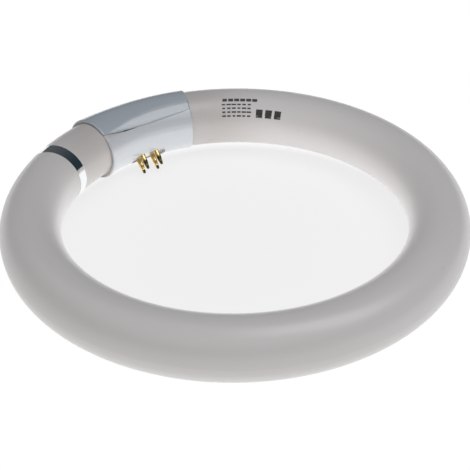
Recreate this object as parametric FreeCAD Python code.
# Circular fluorescent lamp with a four-pin cap, in millimetres.
# The origin is the centre of the ring and +Z is the ring's axis.
# The cap is at +Y. Bearings are degrees about +Z from the cap's centre, positive towards -X.
import FreeCAD, Part
import math
import os

# Ring of glass
OVERALL_DIAMETER = 216.0
TUBE_RADIUS = 14.0
RING_RADIUS = OVERALL_DIAMETER / 2 - TUBE_RADIUS

# Glass ends, inside the cap
GLASS_END_BEARING = 8.5
NECK_RADIUS = 12.9
NECK_LENGTH = 4.0
SHOULDER_LENGTH = 1.6
RIM_ROUNDING = 1.6
STEM_DEPTH = 9.0
STEM_MOUTH_RADIUS = 9.0
STEM_FOOT_RADIUS = 5.0
EXHAUST_NUB_RADIUS = 1.7
EXHAUST_NUB_LENGTH = 6.5
EXHAUST_NUB_ROUNDING = 1.2

# Metal band round the glass
BAND_START_BEARING = 31.55
BAND_WIDTH = 6.5
BAND_THICKNESS = 0.12

# Cap
CAP_HALF_BEARING = 17.05
CAP_HALF_LENGTH = RING_RADIUS * math.radians(CAP_HALF_BEARING)
CAP_OUTER_RADIUS = 15.1
CAP_WALL = 1.0
CAP_INNER_RADIUS = CAP_OUTER_RADIUS - CAP_WALL
CAP_EDGE_ROUNDING = 0.85
PIN_DIP = 40.0
SEAM_DROP = 2.9
SEAM_GAP = 0.12
PIN_SHELL_SPRING = 1.0
OUTER_SHELL_SPRING = -0.75
PIN_SHELL_EDGE_CURVE = 1.95
OUTER_SHELL_EDGE_CURVE = -0.65
RIB_PLACE = 11.5
RIB_THICKNESS = 1.2
RIB_INNER_RADIUS = 11.0

# Flat land that the pins stand on, and the plate and bosses behind it
LAND_HEIGHT = 14.0
LAND_LENGTH = 19.0
LAND_WIDTH = 9.4
LAND_CORNER_RADIUS = 3.5
PLATE_THICKNESS = 1.7
PLATE_LENGTH = 22.0
PLATE_WIDTH = 14.4
BOSS_RADIUS = 2.2
BOSS_FOOT_HEIGHT = 8.4

# Pins
PIN_SPACING_ALONG = 7.92
PIN_SPACING_ACROSS = 6.35
PIN_RADIUS = 1.3
PIN_SHANK_RADIUS = 0.95
PIN_BORE_RADIUS = 0.55
PIN_FLANGE_RADIUS = 1.6
PIN_FLANGE_THICKNESS = 0.4
PIN_COLLAR_RADIUS = 1.5
PIN_COLLAR_HEIGHT = 0.5
PIN_BARREL_LENGTH = 3.3
PIN_TIP_HEIGHT = 22.0
PIN_TIP_RADIUS = 0.7
PIN_NOSE_LENGTH = 0.5
CRIMP_HEIGHT = 19.9
CRIMP_TOOL_RADIUS = 0.9
CRIMP_DEPTH = 0.24

# Lead wires and their sleeves
WIRE_RADIUS = 0.35
WIRE_BEND_RADIUS = 2.6
WIRE_CORNER_HEIGHT = 0.0
WIRE_TIP_GAP = 0.4
SLEEVE_OUTER_RADIUS = 0.75
SLEEVE_STEM_GAP = 3.0
SLEEVE_PIN_GAP = 1.0

# Cement between glass and cap: a ring on each neck, drawn out to fill the sprung end
CEMENT_LENGTH = 3.0
CEMENT_RECESS = 0.5
CEMENT_SEAM_RADIUS = 14.4

# Cutting tools reach this far past what they cut
MARGIN = 3.0

# Edges this close to a plane count as lying in it
TOLERANCE = 0.01


def arc_degrees(length):
    """Bearing covered by a length along the tube's centreline."""
    return math.degrees(length / RING_RADIUS)


def spin(shape, bearing):
    """Copy of a shape turned about the ring's axis."""
    turned = shape.copy()
    turned.rotate(FreeCAD.Vector(0, 0, 0), FreeCAD.Vector(0, 0, 1), bearing)
    return turned


def tube_wire(radius, bearing):
    """Circle round the tube's centreline at a bearing."""
    centre = FreeCAD.Vector(0, RING_RADIUS, 0)
    circle = Part.makeCircle(radius, centre, FreeCAD.Vector(1, 0, 0))
    return spin(Part.Wire(circle), bearing)


def ring_arc(radius, start, end):
    """Solid stretch of the ring between two bearings."""
    face = Part.Face(tube_wire(radius, start))
    return face.revolve(FreeCAD.Vector(0, 0, 0), FreeCAD.Vector(0, 0, 1), end - start)


def ring_sleeve(inner_radius, outer_radius, start, end):
    """Hollow stretch of the ring between two bearings."""
    over = arc_degrees(MARGIN)
    core = ring_arc(inner_radius, start - over, end + over)
    return ring_arc(outer_radius, start, end).cut(core)


def to_cap(shape):
    """Copy of a shape drawn in the cap's own axes, put in its place.

    In the cap's own axes x runs along the tube, z is the way the pins point,
    and the origin is the tube's centre in the middle of the cap.
    """
    turn = FreeCAD.Rotation(FreeCAD.Vector(1, 0, 0), 90 + PIN_DIP)
    place = FreeCAD.Placement(FreeCAD.Vector(0, RING_RADIUS, 0), turn)
    placed = shape.copy()
    placed.Placement = place.multiply(placed.Placement)
    return placed


def block(length, width, bottom, top):
    """Block centred on the cap's z axis."""
    corner = FreeCAD.Vector(-length / 2, -width / 2, bottom)
    return Part.makeBox(length, width, top - bottom, corner)


def pin_places():
    """Centres of the four pins in the cap's own axes."""
    places = []
    for x in (-PIN_SPACING_ALONG / 2, PIN_SPACING_ALONG / 2):
        for y in (-PIN_SPACING_ACROSS / 2, PIN_SPACING_ACROSS / 2):
            places.append((x, y))
    return places


def stem_tool(side):
    """Tool that hollows the stem of one glass end and leaves the exhaust nub."""
    out = FreeCAD.Vector(1, 0, 0)
    mouth = FreeCAD.Vector(0, 0, 0)
    foot = FreeCAD.Vector(-STEM_DEPTH, 0, 0)
    cup = Part.makeCone(STEM_FOOT_RADIUS, STEM_MOUTH_RADIUS, STEM_DEPTH, foot, out)
    lid = Part.makeCylinder(STEM_MOUTH_RADIUS, MARGIN, mouth, out)
    nub = Part.makeCylinder(EXHAUST_NUB_RADIUS, EXHAUST_NUB_LENGTH, foot, out)
    tip = [edge for edge in nub.Edges if edge.BoundBox.XMin > -STEM_DEPTH + MARGIN]
    nub = nub.makeFillet(EXHAUST_NUB_ROUNDING, tip)
    hollow = cup.fuse(lid).cut(nub)
    return place_at_end(hollow, side)


def place_at_end(shape, side):
    """Put a shape drawn at the origin, facing +X, at the glass end on one side of the cap."""
    placed = shape.copy()
    turn = 0 if side > 0 else 180
    placed.rotate(FreeCAD.Vector(0, 0, 0), FreeCAD.Vector(0, 0, 1), turn)
    placed.translate(FreeCAD.Vector(0, RING_RADIUS, 0))
    return spin(placed, side * GLASS_END_BEARING)


def glass_blank():
    """Glass ring with a drawn-in neck and a rounded rim at each end, before its stems are made."""
    neck_bearing = GLASS_END_BEARING + arc_degrees(NECK_LENGTH)
    full_bearing = neck_bearing + arc_degrees(SHOULDER_LENGTH)
    glass = ring_arc(TUBE_RADIUS, full_bearing, 360 - full_bearing)
    for side in (1, -1):
        neck = ring_arc(NECK_RADIUS, side * GLASS_END_BEARING, side * neck_bearing)
        rim_bearing = math.radians(side * GLASS_END_BEARING)
        normal = FreeCAD.Vector(math.cos(rim_bearing), math.sin(rim_bearing), 0)
        centre = FreeCAD.Vector(-math.sin(rim_bearing), math.cos(rim_bearing), 0) * RING_RADIUS
        closed = [edge for edge in neck.Edges if edge.isClosed()]
        rim = [edge for edge in closed if abs((edge.CenterOfMass - centre).dot(normal)) < TOLERANCE]
        neck = neck.makeFillet(RIM_ROUNDING, rim)
        sections = [
            tube_wire(NECK_RADIUS, side * neck_bearing),
            tube_wire(TUBE_RADIUS, side * full_bearing),
        ]
        shoulder = Part.makeLoft(sections, True, True)
        glass = glass.fuse(shoulder).fuse(neck)
    return glass


def make_glass_tube():
    """Sealed glass ring with a re-entrant stem in each end."""
    return glass_blank().cut(stem_tool(1)).cut(stem_tool(-1))


def make_metal_band():
    """Thin metal band lying on the glass."""
    end = BAND_START_BEARING + arc_degrees(BAND_WIDTH)
    return ring_sleeve(TUBE_RADIUS, TUBE_RADIUS + BAND_THICKNESS, BAND_START_BEARING, end)


def sprung_arc(radius, start, end, spring):
    """Solid stretch of the cap's round form, between two lengths from the cap's middle.

    Lengths are positive towards -X. The end there is moved along the pins' direction by spring,
    so the stretch bends round a tighter or wider circle than the ring, in a tilted plane.
    """
    middle = FreeCAD.Vector(0, RING_RADIUS, 0)
    pins = to_cap(Part.Vertex(0, 0, 1)).Point - middle
    bend = FreeCAD.Vector(0, -1 / RING_RADIUS, 0) + pins * (2 * spring / CAP_HALF_LENGTH ** 2)
    bend_radius = 1 / bend.Length
    centre = middle + bend * bend_radius ** 2
    axis = FreeCAD.Vector(-1, 0, 0).cross(bend) * bend_radius
    face = Part.Face(tube_wire(radius, 0))
    face.rotate(centre, axis, math.degrees(start / bend_radius))
    return face.revolve(centre, axis, math.degrees((end - start) / bend_radius))


def cap_arc(radius, spring):
    """The cap's round form, sprung at its -X end and longer than the cap at both ends."""
    sprung = sprung_arc(radius, 0, CAP_HALF_LENGTH + MARGIN, spring)
    plain = sprung_arc(radius, -CAP_HALF_LENGTH - MARGIN, 0, 0)
    return sprung.fuse(plain)


def cap_span():
    """Thick stretch of the ring between the cap's two end planes."""
    return ring_arc(2 * CAP_OUTER_RADIUS, -CAP_HALF_BEARING, CAP_HALF_BEARING)


def cap_blank(spring):
    """Cap wall before it is parted: a hollow round form with rounded end edges and two ribs."""
    body = cap_arc(CAP_OUTER_RADIUS, spring).common(cap_span())
    rims = [edge for edge in body.Edges if edge.isClosed() and abs(edge.CenterOfMass.x) > CAP_OUTER_RADIUS]
    wall = body.makeFillet(CAP_EDGE_ROUNDING, rims).cut(cap_arc(CAP_INNER_RADIUS, spring))
    for length, rib_spring in ((RIB_PLACE, spring), (-RIB_PLACE, 0)):
        ends = (length - RIB_THICKNESS / 2, length + RIB_THICKNESS / 2)
        rib = sprung_arc(CAP_INNER_RADIUS + CAP_WALL / 2, *ends, rib_spring)
        hole = sprung_arc(RIB_INNER_RADIUS, length - MARGIN, length + MARGIN, rib_spring)
        wall = wall.fuse(rib.cut(hole))
    return wall


def seam_side(away, edge_curve):
    """Block on one side of the seam: away is 1 on the pins' side and -1 on the other.

    Its face is flat towards +X and curves towards -X, where the cap's end has sprung open.
    """
    reach = 3 * CAP_OUTER_RADIUS
    face_height = SEAM_DROP + away * SEAM_GAP / 2
    half = FreeCAD.Vector(-CAP_HALF_LENGTH / 2, 0, face_height + edge_curve / 4)
    end = FreeCAD.Vector(-CAP_HALF_LENGTH, 0, face_height + edge_curve)
    far = FreeCAD.Vector(-reach, 0, face_height + edge_curve)
    start = FreeCAD.Vector(reach, 0, face_height)
    middle = FreeCAD.Vector(0, 0, face_height)
    back = FreeCAD.Vector(-reach, 0, away * reach)
    front = FreeCAD.Vector(reach, 0, away * reach)
    edges = [
        Part.makeLine(start, middle),
        Part.Arc(middle, half, end).toShape(),
        Part.makeLine(end, far),
        Part.makeLine(far, back),
        Part.makeLine(back, front),
        Part.makeLine(front, start),
    ]
    face = Part.Face(Part.Wire(edges))
    face.translate(FreeCAD.Vector(0, -reach, 0))
    return to_cap(face.extrude(FreeCAD.Vector(0, 2 * reach, 0)))


def make_cap_outer_shell():
    """Half of the cap on the side away from the pins."""
    return cap_blank(OUTER_SHELL_SPRING).common(seam_side(-1, OUTER_SHELL_EDGE_CURVE))


def land_tool():
    """Rounded block that cuts the flat land into the round wall."""
    tool = block(LAND_LENGTH, LAND_WIDTH, LAND_HEIGHT, PIN_TIP_HEIGHT)
    corners = [edge for edge in tool.Edges if edge.BoundBox.ZLength > MARGIN]
    return to_cap(tool.makeFillet(LAND_CORNER_RADIUS, corners))


def make_cap_pin_shell():
    """Half of the cap that carries the pins, with its land, plate and bosses."""
    shell = cap_blank(PIN_SHELL_SPRING).common(seam_side(1, PIN_SHELL_EDGE_CURVE))
    plate_bottom = LAND_HEIGHT - PLATE_THICKNESS
    plate = to_cap(block(PLATE_LENGTH, PLATE_WIDTH, plate_bottom, CAP_OUTER_RADIUS + MARGIN))
    fill = cap_arc(CAP_OUTER_RADIUS - CAP_WALL / 2, PIN_SHELL_SPRING)
    shell = shell.fuse(plate.common(fill))
    along = FreeCAD.Vector(0, 0, 1)
    for x, y in pin_places():
        foot = FreeCAD.Vector(x, y, BOSS_FOOT_HEIGHT)
        boss = Part.makeCylinder(BOSS_RADIUS, LAND_HEIGHT - BOSS_FOOT_HEIGHT, foot, along)
        shell = shell.fuse(to_cap(boss))
    shell = shell.cut(land_tool())
    for x, y in pin_places():
        foot = FreeCAD.Vector(x, y, BOSS_FOOT_HEIGHT - MARGIN)
        hole = Part.makeCylinder(PIN_SHANK_RADIUS, LAND_HEIGHT, foot, along)
        shell = shell.cut(to_cap(hole))
    return shell


def make_pin(x, y):
    """Hollow turned pin: flange, shank, collar on the land, barrel, and a tapered, crimped tip."""
    flange_foot = BOSS_FOOT_HEIGHT - PIN_FLANGE_THICKNESS
    barrel_start = LAND_HEIGHT + PIN_COLLAR_HEIGHT
    taper_start = barrel_start + PIN_BARREL_LENGTH
    nose_start = PIN_TIP_HEIGHT - PIN_NOSE_LENGTH
    nose_width = PIN_TIP_RADIUS - WIRE_RADIUS
    nose_middle = (
        WIRE_RADIUS + nose_width * math.cos(math.pi / 4),
        nose_start + PIN_NOSE_LENGTH * math.sin(math.pi / 4),
    )
    outline = [
        (WIRE_RADIUS, taper_start),
        (PIN_BORE_RADIUS, taper_start - PIN_BORE_RADIUS),
        (PIN_BORE_RADIUS, flange_foot),
        (PIN_FLANGE_RADIUS, flange_foot),
        (PIN_FLANGE_RADIUS, BOSS_FOOT_HEIGHT),
        (PIN_SHANK_RADIUS, BOSS_FOOT_HEIGHT),
        (PIN_SHANK_RADIUS, LAND_HEIGHT),
        (PIN_COLLAR_RADIUS, LAND_HEIGHT),
        (PIN_COLLAR_RADIUS, barrel_start),
        (PIN_RADIUS, barrel_start),
        (PIN_RADIUS, taper_start),
        (PIN_TIP_RADIUS, nose_start),
    ]
    points = [FreeCAD.Vector(radius, 0, height) for radius, height in outline]
    tip = FreeCAD.Vector(WIRE_RADIUS, 0, PIN_TIP_HEIGHT)
    middle = FreeCAD.Vector(nose_middle[0], 0, nose_middle[1])
    edges = [Part.makeLine(a, b) for a, b in zip(points, points[1:])]
    edges.append(Part.Arc(points[-1], middle, tip).toShape())
    edges.append(Part.makeLine(tip, points[0]))
    face = Part.Face(Part.Wire(edges))
    pin = face.revolve(FreeCAD.Vector(0, 0, 0), FreeCAD.Vector(0, 0, 1), 360)
    taper = (PIN_RADIUS - PIN_TIP_RADIUS) / (nose_start - taper_start)
    crimp_radius = PIN_RADIUS - taper * (CRIMP_HEIGHT - taper_start)
    for side in (1, -1):
        offset = side * (crimp_radius - CRIMP_DEPTH + CRIMP_TOOL_RADIUS)
        start = FreeCAD.Vector(-PIN_FLANGE_RADIUS, offset, CRIMP_HEIGHT)
        tool = Part.makeCylinder(CRIMP_TOOL_RADIUS, 2 * PIN_FLANGE_RADIUS, start, FreeCAD.Vector(1, 0, 0))
        pin = pin.cut(tool)
    pin.translate(FreeCAD.Vector(x, y, 0))
    return to_cap(pin)


def wire_route(x, y, stem_gap, tip_height):
    """Route of a lead wire: straight out of the stem, round one bend and down the pin's axis."""
    side = math.copysign(1, -x)
    end_centre = place_at_end(Part.Vertex(0, 0, 0), side).Point
    foot_centre = place_at_end(Part.Vertex(stem_gap - STEM_DEPTH, 0, 0), side).Point
    back = (foot_centre - end_centre).normalize()
    corner = to_cap(Part.Vertex(x, y, WIRE_CORNER_HEIGHT)).Point
    start = corner + back * (foot_centre - corner).dot(back)
    end = to_cap(Part.Vertex(x, y, tip_height)).Point
    on = (end - corner).normalize()
    half_turn = (math.pi - back.getAngle(on)) / 2
    setback = WIRE_BEND_RADIUS * math.tan(half_turn)
    bend_start = corner + back * setback
    bend_end = corner + on * setback
    centre = corner + (back + on).normalize() * (WIRE_BEND_RADIUS / math.cos(half_turn))
    bend_middle = centre + (corner - centre).normalize() * WIRE_BEND_RADIUS
    edges = [
        Part.makeLine(start, bend_start),
        Part.Arc(bend_start, bend_middle, bend_end).toShape(),
        Part.makeLine(bend_end, end),
    ]
    return Part.Wire(edges)


def swept_rod(route, radius):
    """Round rod along a route."""
    start = route.Edges[0].valueAt(route.Edges[0].FirstParameter)
    heading = route.Edges[0].tangentAt(route.Edges[0].FirstParameter)
    section = Part.Wire(Part.makeCircle(radius, start, heading))
    return route.makePipeShell([section], True, True)


def make_lead_wire(x, y):
    """Lead wire from the glass stem to just inside the pin's tip."""
    return swept_rod(wire_route(x, y, 0, PIN_TIP_HEIGHT - WIRE_TIP_GAP), WIRE_RADIUS)


def make_wire_sleeve(x, y):
    """Insulating sleeve on a lead wire, between the stem and the pin's flange."""
    top = BOSS_FOOT_HEIGHT - PIN_FLANGE_THICKNESS - SLEEVE_PIN_GAP
    route = wire_route(x, y, SLEEVE_STEM_GAP, top)
    return swept_rod(route, SLEEVE_OUTER_RADIUS).cut(make_lead_wire(x, y))


def make_neck_cement():
    """Ring of cement between the glass neck and the cap at the closed end."""
    start = GLASS_END_BEARING + arc_degrees(NECK_LENGTH - CEMENT_LENGTH)
    end = GLASS_END_BEARING + arc_degrees(NECK_LENGTH)
    return ring_sleeve(NECK_RADIUS, CAP_INNER_RADIUS, -end, -start)


def make_sprung_cement():
    """Cement at the sprung end: it fills the cap from the neck almost to its edge.

    Both shells are filled to their own walls, and the open seam to a little over the glass.
    """
    start = GLASS_END_BEARING + arc_degrees(NECK_LENGTH - CEMENT_LENGTH)
    end = CAP_HALF_BEARING - arc_degrees(CEMENT_RECESS)
    span = ring_arc(2 * CAP_OUTER_RADIUS, start, end)
    fill = ring_arc(CEMENT_SEAM_RADIUS, start, end)
    outer_side = seam_side(-1, OUTER_SHELL_EDGE_CURVE)
    pin_side = seam_side(1, PIN_SHELL_EDGE_CURVE)
    in_outer = cap_arc(CAP_INNER_RADIUS, OUTER_SHELL_SPRING).common(span).common(outer_side)
    in_pin = cap_arc(CAP_INNER_RADIUS, PIN_SHELL_SPRING).common(span).common(pin_side)
    in_seam = fill.cut(outer_side).cut(pin_side)
    return in_seam.fuse(in_outer).fuse(in_pin).cut(glass_blank())


def make_parts():
    """Every piece of the lamp by name."""
    parts = {
        "glass_tube": make_glass_tube(),
        "metal_band": make_metal_band(),
        "cap_outer_shell": make_cap_outer_shell(),
        "cap_pin_shell": make_cap_pin_shell(),
        "cement_ring_1": make_sprung_cement(),
        "cement_ring_2": make_neck_cement(),
    }
    for number, (x, y) in enumerate(pin_places(), start=1):
        parts[f"pin_{number}"] = make_pin(x, y)
        parts[f"lead_wire_{number}"] = make_lead_wire(x, y)
        parts[f"wire_sleeve_{number}"] = make_wire_sleeve(x, y)
    return parts


os.makedirs("parts", exist_ok=True)
for name, shape in make_parts().items():
    shape.exportStep(f"parts/{name}.step")
    print(name, shape.ShapeType, len(shape.Solids), shape.isValid(), round(shape.Volume, 2))
